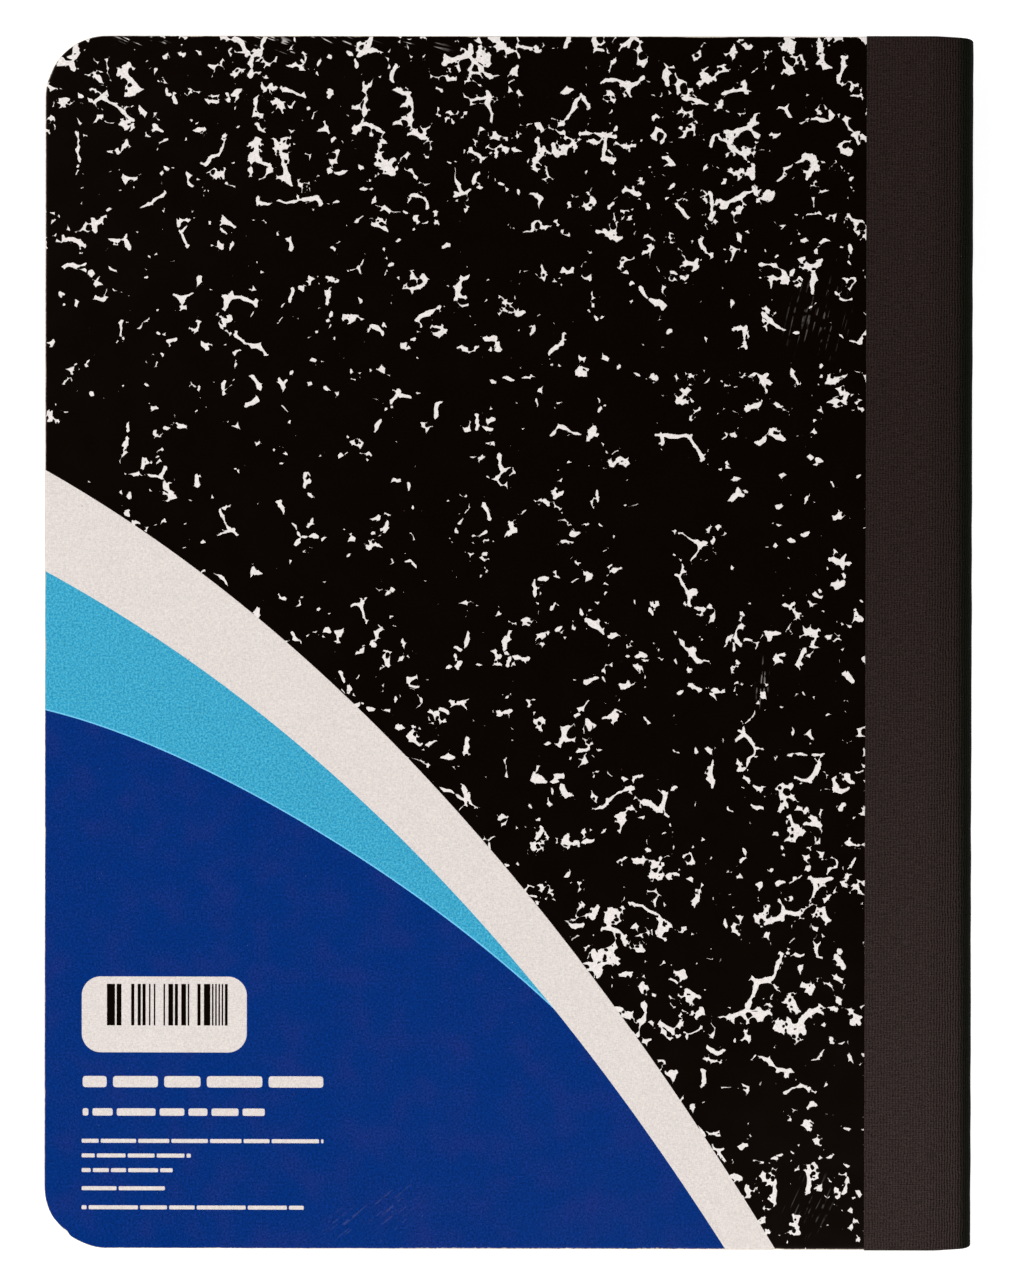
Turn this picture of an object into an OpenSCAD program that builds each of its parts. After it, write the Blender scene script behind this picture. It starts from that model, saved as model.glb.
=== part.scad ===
// Composition notebook, lying closed with its back cover up.
// The origin is at the middle of the underside. X runs towards the spine,
// Y towards the head of the book, and Z up. All sizes are in millimetres.

/* [Book] */
// Width from the fore-edge to the outside of the spine
book_w = 190; // [150:0.5:230]
// Height from the tail to the head
book_h = 247.65; // [200:0.05:300]
// Radius of the rounded corners at the fore-edge
corner_r = 12.7; // [4:0.1:25]

/* [Pages] */
// Number of leaves
leaves = 100; // [60:2:140]
// Thickness of one leaf
leaf_t = 0.078; // [0.07:0.001:0.1]
// How much the pressed fold narrows on each side of the block
fold_pinch = 0.5; // [0.2:0.1:1]

/* [Covers] */
// Thickness of each cover board
board_t = 0.9; // [0.5:0.1:2]
// Gap from the centre of the fold's round to the inner edge of the boards
hinge_gap = 4.75; // [3.5:0.05:8]

/* [Spine tape] */
// Thickness of the cloth tape
tape_t = 0.25; // [0.15:0.05:0.5]
// Width of the tape glued to each cover board
tape_lap = 14.1; // [8:0.1:30]

/* [Sewing] */
// Diameter of the sewing thread
thread_d = 0.5; // [0.3:0.05:0.7]
// Width of the two strands that meet in each needle hole
needle_strands_d = 0.7; // [0.4:0.05:0.9]
// Distance from one needle hole to the next
stitch_pitch = 7; // [4:0.5:15]
// Clearance of the thread in its holes and grooves
thread_clear = 0.05; // [0.03:0.01:0.1]

/* [Hidden] */
$fn = 96;
// How far a cut runs past the face it opens
cut_over = 1;
// How far a straight side runs into the round that it meets
merge_in = 0.005;

block_t = leaves * leaf_t;
block_z = tape_t + board_t;
book_t = block_t + 2 * block_z;
mid_z = book_t / 2;

fore_x = -book_w / 2;
spine_x = book_w / 2;
fold_x = spine_x - tape_t;
fold_r = block_t / 2 - fold_pinch;
fold_c = [fold_x - fold_r, mid_z];
hinge_x = fold_c.x - hinge_gap;
tape_x = hinge_x - tape_lap;

outer_run_x = fold_x - thread_d / 2 - thread_clear;
centre_fold_x = fold_x - block_t / 2;
stitches = floor(book_h / stitch_pitch);

// Point where a straight line from p meets a circle about c without crossing it.
// side is 1 for the upper of the two such points and -1 for the lower one.
function touch_point(p, c, r, side) =
    let (away = atan2(p.y - c.y, p.x - c.x))
    let (swing = acos(r / norm(p - c)))
    c + r * [cos(away - side * swing), sin(away - side * swing)];

// Plan of everything trimmed in one cut: square at x_end, rounded at the fore-edge
module trimmed_plan(x_end) {
    translate([fore_x + corner_r, -book_h / 2])
        square([x_end - fore_x - corner_r, book_h]);
    translate([fore_x, corner_r - book_h / 2])
        square([corner_r, book_h - 2 * corner_r]);
    for (end = [-1, 1])
        translate([fore_x + corner_r, end * (book_h / 2 - corner_r)])
            circle(corner_r);
}

// End view of what lies inside a wrap that leaves the inner edges of the boards at
// height rise from the middle, and goes round the fold at radius r
module wrapped_section(rise, r) {
    bottom = touch_point([hinge_x, mid_z - rise], fold_c, r - merge_in, -1);
    top = touch_point([hinge_x, mid_z + rise], fold_c, r - merge_in, 1);
    polygon([[hinge_x, mid_z - rise], bottom, fold_c, top, [hinge_x, mid_z + rise]]);
    translate(fold_c) circle(r);
}

// End view of the leaves, flat between the boards and pinched round at the fold
module leaves_section() {
    translate([fore_x, block_z]) square([hinge_x - fore_x, block_t]);
    wrapped_section(block_t / 2, fold_r);
}

// Turns an end view into a bar that runs from the tail to the head
module along_spine(length) {
    rotate([90, 0, 0])
        linear_extrude(length, center = true)
            children();
}

// Places its children at every needle hole along the fold
module at_stitches() {
    for (i = [0 : stitches - 1])
        translate([0, (i - (stitches - 1) / 2) * stitch_pitch, mid_z])
            children();
}

// Straight run of thread, or its groove, along the fold at x
module thread_run(x, d, length) {
    translate([x, 0, mid_z])
        rotate([90, 0, 0])
            cylinder(h = length, d = d, center = true);
}

// One needle hole, or the strands in it, from the centre fold out to x_end
module needle_way(x_end, d) {
    translate([centre_fold_x, 0, 0])
        rotate([0, 90, 0])
            cylinder(h = x_end - centre_fold_x, d = d);
}

// The folded leaves: full thickness between the boards, pinched round at the fold,
// with the needle holes and the grooves that the thread pulls into the paper
module page_block() {
    groove_d = thread_d + 2 * thread_clear;
    cut_h = book_h + 2 * cut_over;
    color([0.93, 0.92, 0.88])
        difference() {
            intersection() {
                along_spine(book_h)
                    leaves_section();
                translate([0, 0, block_z])
                    linear_extrude(block_t)
                        trimmed_plan(spine_x);
            }
            translate([outer_run_x - groove_d / 2, -cut_h / 2, mid_z - groove_d / 2])
                cube([groove_d + cut_over, cut_h, groove_d]);
            thread_run(centre_fold_x, groove_d, cut_h);
            at_stitches()
                needle_way(fold_x + cut_over, needle_strands_d + 2 * thread_clear);
        }
}

// Lock stitch: one thread outside the fold and one inside, met in every hole
module sewing_thread() {
    color([0.9, 0.88, 0.82]) {
        thread_run(outer_run_x, thread_d, book_h);
        thread_run(centre_fold_x, thread_d, book_h);
        at_stitches()
            needle_way(outer_run_x, needle_strands_d);
    }
}

// Cloth over the fold, between the inner edges of the boards
module spine_tape() {
    color([0.15, 0.12, 0.11])
        along_spine(book_h)
            difference() {
                wrapped_section(book_t / 2, fold_r + tape_t);
                wrapped_section(book_t / 2 - tape_t, fold_r);
            }
}

// Cloth glued to the outside of one board, with its underside at z
module tape_wing(z) {
    color([0.17, 0.14, 0.13])
        translate([tape_x, -book_h / 2, z])
            cube([tape_lap, book_h, tape_t]);
}

// One board, with its underside at z
module cover_board(z) {
    color([0.08, 0.07, 0.07])
        translate([0, 0, z])
            linear_extrude(board_t)
                trimmed_plan(hinge_x);
}

module back_tape_wing() { tape_wing(book_t - tape_t); }
module front_tape_wing() { tape_wing(0); }
module back_cover() { cover_board(book_t - block_z); }
module front_cover() { cover_board(tape_t); }

page_block();
sewing_thread();
spine_tape();
back_cover();
back_tape_wing();
front_cover();
front_tape_wing();
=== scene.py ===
"""Looks of a composition notebook that lies closed with its back cover up.

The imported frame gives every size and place. This script adds the printed boards, the cloth
spine tape, the folded leaves and their stitching, and a plain studio. Lengths in the classes
are metres, and the finishes draw their patterns in millimetres.
"""

import functools
import logging
import math
from collections.abc import Iterable, Sequence
from dataclasses import dataclass
from enum import Enum
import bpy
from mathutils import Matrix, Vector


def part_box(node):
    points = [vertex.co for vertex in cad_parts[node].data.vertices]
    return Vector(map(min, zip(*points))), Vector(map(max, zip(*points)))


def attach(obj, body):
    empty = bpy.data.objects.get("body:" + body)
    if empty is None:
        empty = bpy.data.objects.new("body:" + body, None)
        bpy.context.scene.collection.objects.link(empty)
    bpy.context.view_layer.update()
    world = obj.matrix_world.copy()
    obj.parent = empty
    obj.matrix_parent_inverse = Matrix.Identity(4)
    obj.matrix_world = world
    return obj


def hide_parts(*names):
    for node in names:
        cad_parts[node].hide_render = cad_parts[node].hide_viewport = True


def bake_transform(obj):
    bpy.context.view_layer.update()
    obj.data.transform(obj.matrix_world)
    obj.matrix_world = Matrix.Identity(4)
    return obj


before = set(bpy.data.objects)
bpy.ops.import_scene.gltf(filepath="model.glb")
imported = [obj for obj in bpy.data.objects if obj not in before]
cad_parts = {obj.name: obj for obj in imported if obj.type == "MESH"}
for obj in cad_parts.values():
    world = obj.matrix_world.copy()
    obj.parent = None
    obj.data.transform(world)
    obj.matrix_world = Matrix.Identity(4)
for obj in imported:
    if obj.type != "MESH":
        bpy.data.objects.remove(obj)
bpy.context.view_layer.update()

from types import SimpleNamespace
from typing import ClassVar

import bpy
from mathutils import Vector, noise

MM = 0.001
LOG = logging.getLogger("notebook")

Pair = tuple[float, float]
Triple = tuple[float, float, float]
Colour = tuple[float, float, float, float]
EdgePoint = tuple[float, float, float, float]


class Side(Enum):
    """A cover of the book. The value is the way its outside faces along Z."""

    BACK = 1
    FRONT = -1


class Slot(Enum):
    """Material slots of the record. The boards keep one each, which nothing reads."""

    BACK_BOARD = "back_board"
    FRONT_BOARD = "front_board"
    LEAVES = "leaves"
    SPINE_CLOTH = "spine_cloth"
    THREAD = "thread"


def srgb(*levels: float) -> Colour:
    """Turns a screen's red, green and blue from 0 to 255 into the linear colour of a shader."""
    shares = [level / 255 for level in levels]
    return (*(s / 12.92 if s <= 0.04045 else ((s + 0.055) / 1.055) ** 2.4 for s in shares), 1.0)


class Wire:
    """An output of a node. Plain sums with it add math nodes to its tree."""

    def __init__(self, graph: "Graph", socket: bpy.types.NodeSocket) -> None:
        """Keeps the socket and the graph that it is in."""
        self.graph, self.socket = graph, socket
        self.wide = socket.type in ("VECTOR", "RGBA")

    def meet(self, operation: str, first: "Feed", second: "Feed") -> "Wire":
        """Adds the node of one sum, a vector one where either side is a vector.

        Args:
            operation: Name of the operation.
            first: Left side.
            second: Right side.

        Returns:
            The result.
        """
        wide = [getattr(side, "wide", isinstance(side, tuple)) for side in (first, second)]
        if operation == "MULTIPLY" and wide[0] != wide[1]:
            vector, number = (first, second) if wide[0] else (second, first)
            return self.graph.vector("SCALE", vector, scale=number)
        add = self.graph.vector if any(wide) else self.graph.math
        return add(operation, first, second)

    def __add__(self, other: "Feed") -> "Wire":
        """Adds two values."""
        return self.meet("ADD", self, other)

    def __sub__(self, other: "Feed") -> "Wire":
        """Takes a value from this one."""
        return self.meet("SUBTRACT", self, other)

    def __rsub__(self, other: "Feed") -> "Wire":
        """Takes this value from a plain one."""
        return self.meet("SUBTRACT", other, self)

    def __mul__(self, other: "Feed") -> "Wire":
        """Multiplies two values."""
        return self.meet("MULTIPLY", self, other)

    def __truediv__(self, other: "Feed") -> "Wire":
        """Divides this value."""
        return self.meet("DIVIDE", self, other)

    def __rtruediv__(self, other: "Feed") -> "Wire":
        """Divides a plain value by this one."""
        return self.meet("DIVIDE", other, self)

    def __neg__(self) -> "Wire":
        """Turns the sign round."""
        return self * -1.0

    def __abs__(self) -> "Wire":
        """Drops the sign."""
        return (self.graph.vector if self.wide else self.graph.math)("ABSOLUTE", self)

    __rmul__ = __mul__


Feed = Wire | float | int | bool | str | tuple | bpy.types.Material
Inputs = dict[str | int, Feed]


class Graph:
    """Adds nodes to one tree and links them, so that a formula reads as a row of calls."""

    def __init__(self, tree: bpy.types.NodeTree) -> None:
        """Keeps the tree that the nodes go into."""
        self.tree = tree

    def feed(self, socket: bpy.types.NodeSocket, value: Feed) -> None:
        """Links a socket, or sets its value.

        Args:
            socket: Input to feed.
            value: Wire to link from, or a plain value.
        """
        if isinstance(value, Wire):
            self.tree.links.new(value.socket, socket)
        else:
            socket.default_value = value

    def node(self, kind: str, inputs: Inputs | None = None, **settings: object) -> bpy.types.Node:
        """Adds one node.

        Args:
            kind: Blender's name for the node type.
            inputs: Links or values for its inputs, by socket name or number.
            settings: Values of the node's own properties.

        Returns:
            The new node.
        """
        made = self.tree.nodes.new(kind)
        for name, value in settings.items():
            setattr(made, name, value)
        for key, value in (inputs or {}).items():
            self.feed(made.inputs[key], value)
        return made

    def get(
        self, kind: str, inputs: Inputs | None = None, output: str | int = 0, **settings: object
    ) -> Wire:
        """Adds one node and gives one output, by its name or number."""
        return Wire(self, self.node(kind, inputs, **settings).outputs[output])

    def math(self, operation: str, *values: Feed, clamp: bool = False) -> Wire:
        """Adds a math node, whose result can be kept from 0 to 1 by clamp."""
        inputs = dict(enumerate(values))
        return self.get("ShaderNodeMath", inputs, operation=operation, use_clamp=clamp)

    def vector(self, operation: str, *values: Feed, scale: Feed | None = None) -> Wire:
        """Adds a vector math node.

        Args:
            operation: Name of the operation.
            values: Its vectors, or colours, whose alpha is dropped.
            scale: The number that SCALE multiplies by.

        Returns:
            The result, a number for LENGTH.
        """
        inputs = dict(enumerate(value[:3] if isinstance(value, tuple) else value for value in values))
        if scale is not None:
            inputs["Scale"] = scale
        output = "Value" if operation == "LENGTH" else "Vector"
        return self.get("ShaderNodeVectorMath", inputs, output, operation=operation)

    def least(self, *values: Feed) -> Wire:
        """Gives the least of some numbers."""
        return functools.reduce(functools.partial(self.math, "MINIMUM"), values)

    def step(self, value: Feed, start: Feed, end: Feed) -> Wire:
        """Rises smoothly from 0 where value is start to 1 where it is end, or falls if end is below."""
        inputs = {"Value": value, "From Min": start, "From Max": end}
        return self.get("ShaderNodeMapRange", inputs, interpolation_type="SMOOTHSTEP")

    def between(self, value: Feed, low: Feed, high: Feed) -> Wire:
        """Spreads a share from 0 to 1 over the numbers from low to high."""
        return self.get("ShaderNodeMapRange", {"Value": value, "To Min": low, "To Max": high})

    def mix(self, share: Feed, first: Feed, second: Feed) -> Wire:
        """Mixes two colours: the first at a share of 0, the second at 1."""
        return self.get("ShaderNodeMix", {0: share, 6: first, 7: second}, 2, data_type="RGBA")

    def mix_number(self, share: Feed, first: Feed, second: Feed) -> Wire:
        """Mixes two numbers: the first at a share of 0, the second at 1."""
        return self.get("ShaderNodeMix", {0: share, 2: first, 3: second})

    def joined(self, x: Feed = 0.0, y: Feed = 0.0, z: Feed = 0.0) -> Wire:
        """Joins three numbers into a vector."""
        return self.get("ShaderNodeCombineXYZ", {"X": x, "Y": y, "Z": z})

    def split(self, vector: Feed) -> list[Wire]:
        """Splits a vector into its three numbers."""
        return [Wire(self, part) for part in self.node("ShaderNodeSeparateXYZ", {0: vector}).outputs]

    def ripple(self, value: Wire, pitch: float) -> Wire:
        """Swings between 0 and 1 once in every pitch."""
        return self.math("SINE", value * (2 * math.pi / pitch)) * 0.5 + 0.5

    def grain(
        self,
        place: Feed,
        size: Feed,
        detail: float = 0.0,
        rough: float = 0.5,
        flat: bool = False,
        output: str = "Fac",
    ) -> Wire:
        """Adds smooth noise of about 0.5. Detail counts its finer layers, and flat ignores Z."""
        inputs = {"Vector": place, "Scale": 1 / size, "Detail": detail, "Roughness": rough}
        return self.get("ShaderNodeTexNoise", inputs, output, noise_dimensions="2D" if flat else "3D")

    def cells(self, place: Feed, pitch: Feed) -> tuple[Wire, Wire]:
        """Scatters points over a plane.

        Args:
            place: Where they are read, in millimetres.
            pitch: Their usual distance in millimetres.

        Returns:
            The distance to the nearest point, and a chance from 0 to 1 that it keeps.
        """
        inputs = {"Vector": place, "Scale": 1 / pitch}
        made = self.node("ShaderNodeTexVoronoi", inputs, voronoi_dimensions="2D").outputs
        return Wire(self, made["Distance"]) * pitch, self.split(Wire(self, made["Color"]))[0]

    def object_place(self) -> Wire:
        """Reads where a point is on the book, in millimetres."""
        return self.get("ShaderNodeTexCoord", output="Object") * (1 / MM)


class Effect:
    """A shader node group, built once and then placed. Each takes a place in millimetres."""

    title: ClassVar[str]
    inputs: ClassVar[dict[str, float | Triple]]
    outputs: ClassVar[dict[str, str]]
    built: ClassVar[dict[str, bpy.types.NodeTree]] = {}

    @classmethod
    def draw(cls, graph: Graph, given: SimpleNamespace) -> Sequence[Wire]:
        """Adds the nodes of the effect, and gives one wire for each name in outputs."""
        raise NotImplementedError

    @classmethod
    def tree(cls) -> bpy.types.NodeTree:
        """Builds the group on first use.

        Returns:
            The group's tree.
        """
        if cls.title in cls.built:
            return cls.built[cls.title]
        tree = bpy.data.node_groups.new(cls.title, "ShaderNodeTree")
        inputs = {"place": (0.0, 0.0, 0.0), **cls.inputs}
        for name, value in inputs.items():
            kind = "NodeSocketVector" if isinstance(value, tuple) else "NodeSocketFloat"
            socket = tree.interface.new_socket(name=name, in_out="INPUT", socket_type=kind)
            socket.default_value = value
        for name, kind in cls.outputs.items():
            tree.interface.new_socket(name=name, in_out="OUTPUT", socket_type=f"NodeSocket{kind}")
        graph = Graph(tree)
        sockets = graph.node("NodeGroupInput").outputs
        given = SimpleNamespace(**{name: Wire(graph, sockets[name]) for name in inputs})
        graph.node("NodeGroupOutput", dict(zip(cls.outputs, cls.draw(graph, given))))
        cls.built[cls.title] = tree
        return tree

    @classmethod
    def add(cls, graph: Graph, **values: Feed) -> list[Wire]:
        """Adds the group to a material with values for its inputs, and gives its outputs."""
        made = graph.node("ShaderNodeGroup", values, node_tree=cls.tree())
        return [Wire(graph, socket) for socket in made.outputs]


@dataclass(frozen=True)
class InkSpots:
    """One layer of the round ink spots that leave the white of the marbling between them.

    Join is how softly a layer runs into those before it, and follow is how much its spots
    shrink where the island field is low. All lengths are millimetres.
    """

    pitch: float
    radius: float
    spread: float
    join: float
    follow: float


class Marbling(Effect):
    """Traditional black and white marbling: ragged white islands between round ink spots."""

    title = "marbling"
    inputs = {"ink": 0.0, "seed": 0.0}
    outputs = {"white": "Float"}
    layers: ClassVar[tuple[InkSpots, ...]] = (
        InkSpots(5.2, 2.2, 0.4, 0.12, 0.3),
        InkSpots(2.0, 0.93, 0.45, 0.08, 0.8),
        InkSpots(1.15, 0.46, 0.55, 0.05, 0.95),
    )
    layer_shift: ClassVar[float] = 37.7
    ink: ClassVar[float] = 1.1
    drift_size: ClassVar[float] = 2.6
    drift_reach: ClassVar[float] = 0.8
    patch_shift: ClassVar[Triple] = (200.0, 90.0, 0.0)
    patch_size: ClassVar[float] = 16.0
    patch_depth: ClassVar[float] = 0.85
    island_shift: ClassVar[Triple] = (-70.0, 310.0, 0.0)
    island_size: ClassVar[float] = 2.9
    island_depth: ClassVar[float] = 2.6
    island_detail: ClassVar[float] = 1.2
    chain_shift: ClassVar[Triple] = (500.0, -500.0, 0.0)
    chain_size: ClassVar[float] = 7.0
    chain_width: ClassVar[float] = 0.7
    chain_depth: ClassVar[float] = 1.5
    run_shift: ClassVar[Triple] = (77.0, -310.0, 0.0)
    run_size: ClassVar[float] = 6.0
    run_edge: ClassVar[Pair] = (0.42, 0.58)
    white_edge: ClassVar[Pair] = (0.01, 0.07)

    @classmethod
    def draw(cls, graph: Graph, given: SimpleNamespace) -> Sequence[Wire]:
        """Adds the layers of ink spots and joins them.

        Args:
            graph: The group's graph.
            given: The group's inputs.

        Returns:
            The white, from 0 to 1.
        """
        still = given.place + graph.joined(given.seed, given.seed * 0.7)
        drift = graph.grain(still, cls.drift_size, flat=True, output="Color") - (0.5, 0.5, 0.5)
        moved = still + drift * cls.drift_reach
        patch = graph.grain(still + cls.patch_shift, cls.patch_size, flat=True) - 0.5
        swell = patch * cls.patch_depth + given.ink + cls.ink
        islands = graph.grain(still + cls.island_shift, cls.island_size, cls.island_detail, flat=True)
        web = graph.get(
            "ShaderNodeTexVoronoi",
            {"Vector": moved + cls.chain_shift, "Scale": 1 / cls.chain_size},
            "Distance",
            voronoi_dimensions="2D",
            feature="DISTANCE_TO_EDGE",
        )
        near_web = graph.step(web, cls.chain_width / cls.chain_size, 0.0)
        runs = graph.grain(still + cls.run_shift, cls.run_size, flat=True)
        chain = near_web * graph.step(runs, *cls.run_edge)
        island = (islands - 0.5) * cls.island_depth - chain * cls.chain_depth
        nearest = None
        for number, spots in enumerate(cls.layers):
            shift = number * cls.layer_shift
            away, chance = graph.cells(moved + (shift, -shift, 0.0), spots.pitch)
            size = ((chance * 2.0 - 1.0) * spots.spread + swell) * spots.radius
            gap = away - (island * spots.follow + size)
            nearest = gap if nearest is None else graph.math("SMOOTH_MIN", nearest, gap, spots.join)
        return (graph.step(nearest, *cls.white_edge),)


class RimWear(Effect):
    """Print rubbed off along a cut edge, in an uneven line with a few wider chips."""

    title = "rim_wear"
    inputs = {"rim": 5.0, "reach": 0.3, "chips": 0.5}
    outputs = {"worn": "Float"}
    ragged_size: ClassVar[float] = 0.5
    ragged_depth: ClassVar[float] = 1.7
    ragged_rest: ClassVar[float] = 0.35
    chip_size: ClassVar[float] = 6.0
    chip_edge: ClassVar[Pair] = (0.58, 0.74)
    blur: ClassVar[float] = 0.05

    @classmethod
    def draw(cls, graph: Graph, given: SimpleNamespace) -> Sequence[Wire]:
        """Compares the distance to the edge with a ragged reach.

        Args:
            graph: The group's graph.
            given: The group's inputs.

        Returns:
            The wear, from 0 to 1.
        """
        ragged = graph.grain(given.place, cls.ragged_size, detail=2.0) * cls.ragged_depth - cls.ragged_rest
        chip = graph.step(graph.grain(given.place, cls.chip_size, detail=1.0), *cls.chip_edge) * given.chips
        width = (ragged + chip) * given.reach
        return (graph.step(given.rim, width + cls.blur, width - cls.blur),)


class Fibres(Effect):
    """Tooth of paper: a fine felt of fibres, with the slow cloudiness of the sheet."""

    title = "fibres"
    inputs = {"size": 0.25}
    outputs = {"tooth": "Float", "cloud": "Float"}
    stretch: ClassVar[float] = 0.35
    cloud_size: ClassVar[float] = 7.0

    @classmethod
    def draw(cls, graph: Graph, given: SimpleNamespace) -> Sequence[Wire]:
        """Crosses two stretched noises for the felt.

        Args:
            graph: The group's graph.
            given: The group's inputs.

        Returns:
            The tooth and the cloudiness, about 0.5 on average.
        """
        ways = ((cls.stretch, 1.0, 1.0), (1.0, cls.stretch, 1.0))
        felt = [graph.grain(given.place * way, given.size, detail=1.0) for way in ways]
        return (felt[0] + felt[1]) * 0.5, graph.grain(given.place, cls.cloud_size, detail=1.0)


class ScuffZone(Effect):
    """A soft oval that scratches run along. Its turn is in degrees."""

    title = "scuff_zone"
    inputs = {
        "centre": (0.0, 0.0, 0.0),
        "turn": 0.0,
        "along": 10.0,
        "across": 5.0,
        "strength": 0.2,
    }
    outputs = {"lane": "Vector", "strength": "Float"}
    lanes: ClassVar[Triple] = (0.12, 2.4, 1.0)
    full_reach: ClassVar[float] = 0.45

    @classmethod
    def draw(cls, graph: Graph, given: SimpleNamespace) -> Sequence[Wire]:
        """Turns the place into lanes along the scratches, and fades the oval.

        Args:
            graph: The group's graph.
            given: The group's inputs.

        Returns:
            The place in the lanes, and the strength there.
        """
        inputs = {"Vector": given.place - given.centre, "Angle": given.turn * -math.radians(1)}
        local = graph.get("ShaderNodeVectorRotate", inputs, rotation_type="Z_AXIS")
        away = graph.vector("LENGTH", local / graph.joined(given.along, given.across, 1.0))
        lane = local * cls.lanes + given.centre
        inside = graph.math("LESS_THAN", away, 1.0)
        return lane * inside, graph.step(away, 1.0, cls.full_reach) * given.strength


class Specks(Effect):
    """Pin-point flecks of dust and lint, thinly scattered."""

    title = "specks"
    inputs = {"pitch": 3.0, "size": 0.08, "share": 0.2}
    outputs = {"speck": "Float"}

    @classmethod
    def draw(cls, graph: Graph, given: SimpleNamespace) -> Sequence[Wire]:
        """Keeps a share of the cells and marks their middles.

        Args:
            graph: The group's graph.
            given: The group's inputs.

        Returns:
            The speck, 1 inside and 0 beside it.
        """
        away, chance = graph.cells(given.place, given.pitch)
        dot = graph.step(away, given.size, given.size * 0.5)
        return (dot * graph.math("LESS_THAN", chance, given.share),)


class DashedLine(Effect):
    """A line of dashes of uneven length, with small gaps between them."""

    title = "dashed_line"
    inputs = {
        "start": 0.0,
        "end": 10.0,
        "middle": 0.0,
        "height": 1.0,
        "dash": 4.0,
    }
    outputs = {"mark": "Float"}
    gap: ClassVar[float] = 0.28
    unevenness: ClassVar[float] = 0.8
    roundness: ClassVar[float] = 0.9
    blur: ClassVar[float] = 0.04

    @classmethod
    def draw(cls, graph: Graph, given: SimpleNamespace) -> Sequence[Wire]:
        """Cuts a bar into dashes at random gaps.

        Args:
            graph: The group's graph.
            given: The group's inputs.

        Returns:
            The mark, 1 in a dash and 0 beside it.
        """
        x, y, _ = graph.split(given.place)
        half = given.height * 0.5
        cuts = graph.get(
            "ShaderNodeTexVoronoi",
            {"W": x / given.dash + given.middle, "Scale": 1.0, "Randomness": cls.unevenness},
            "Distance",
            voronoi_dimensions="1D",
            feature="DISTANCE_TO_EDGE",
        )
        to_gap = cuts * given.dash - given.height * cls.gap
        inner = graph.least(x - given.start, given.end - x, to_gap)
        row = half - abs(y - given.middle)
        depth = graph.math("SMOOTH_MIN", inner, row, half * cls.roundness)
        return (graph.step(depth, -cls.blur, cls.blur),)


def start_material(name: str) -> tuple[bpy.types.Material, Graph, bpy.types.Node]:
    """Makes an empty node material.

    Args:
        name: Name of the material.

    Returns:
        The material, its graph and its Principled shader, already linked to the output.
    """
    material = bpy.data.materials.new(name)
    material.use_nodes = True
    material.node_tree.nodes.clear()
    graph = Graph(material.node_tree)
    shader = graph.node("ShaderNodeBsdfPrincipled")
    graph.node("ShaderNodeOutputMaterial", {"Surface": Wire(graph, shader.outputs[0])})
    return material, graph, shader


class Finish:
    """A look: its name, how it shines, and the height of its relief in millimetres."""

    name: ClassVar[str]
    specular: ClassVar[float] = 0.3
    sheen: ClassVar[Colour] = (1.0, 1.0, 1.0, 1.0)
    relief: ClassVar[float] = 0.05

    def draw(self, graph: Graph) -> tuple[Wire, Wire, Wire]:
        """Adds the pattern, and gives its colour, roughness and height of relief from 0 to 1."""
        raise NotImplementedError

    def material(self) -> bpy.types.Material:
        """Builds the finish.

        Returns:
            The material.
        """
        material, graph, shader = start_material(self.name)
        colour, roughness, height = self.draw(graph)
        relief = {"Height": height, "Distance": self.relief * MM, "Strength": 1.0}
        values = {
            "Base Color": colour,
            "Roughness": roughness,
            "Normal": graph.get("ShaderNodeBump", relief),
            "Specular IOR Level": self.specular,
            "Specular Tint": self.sheen,
        }
        for name, value in values.items():
            graph.feed(shader.inputs[name], value)
        return material


@dataclass(frozen=True)
class Sweep:
    """A long curve across the cover that parts two fields of colour.

    Its height is a sum of powers of x, the constant first, in millimetres.
    """

    factors: tuple[float, ...]

    def above(self, graph: Graph, place: Wire) -> Wire:
        """Measures how far a place lies above the curve.

        Args:
            graph: The material's graph.
            place: Flat place on the cover, in millimetres.

        Returns:
            The distance in millimetres, below 0 under the curve.
        """
        x, y, _ = graph.split(place)
        height, slope = self.factors[-1], 0.0
        for factor in reversed(self.factors[:-1]):
            slope = slope * x + height
            height = height * x + factor
        return (y - height) / graph.math("SQRT", slope * slope + 1.0)


@dataclass(frozen=True)
class ScratchPatch:
    """One patch of scratches: its place and size in millimetres and its turn in degrees."""

    centre: Triple
    turn: float
    along: float
    across: float
    strength: float


@dataclass(frozen=True)
class PrintedRow:
    """One row of dashes: its ends, middle and height, and its usual dash, in millimetres."""

    start: float
    end: float
    middle: float
    height: float
    dash: float


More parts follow.
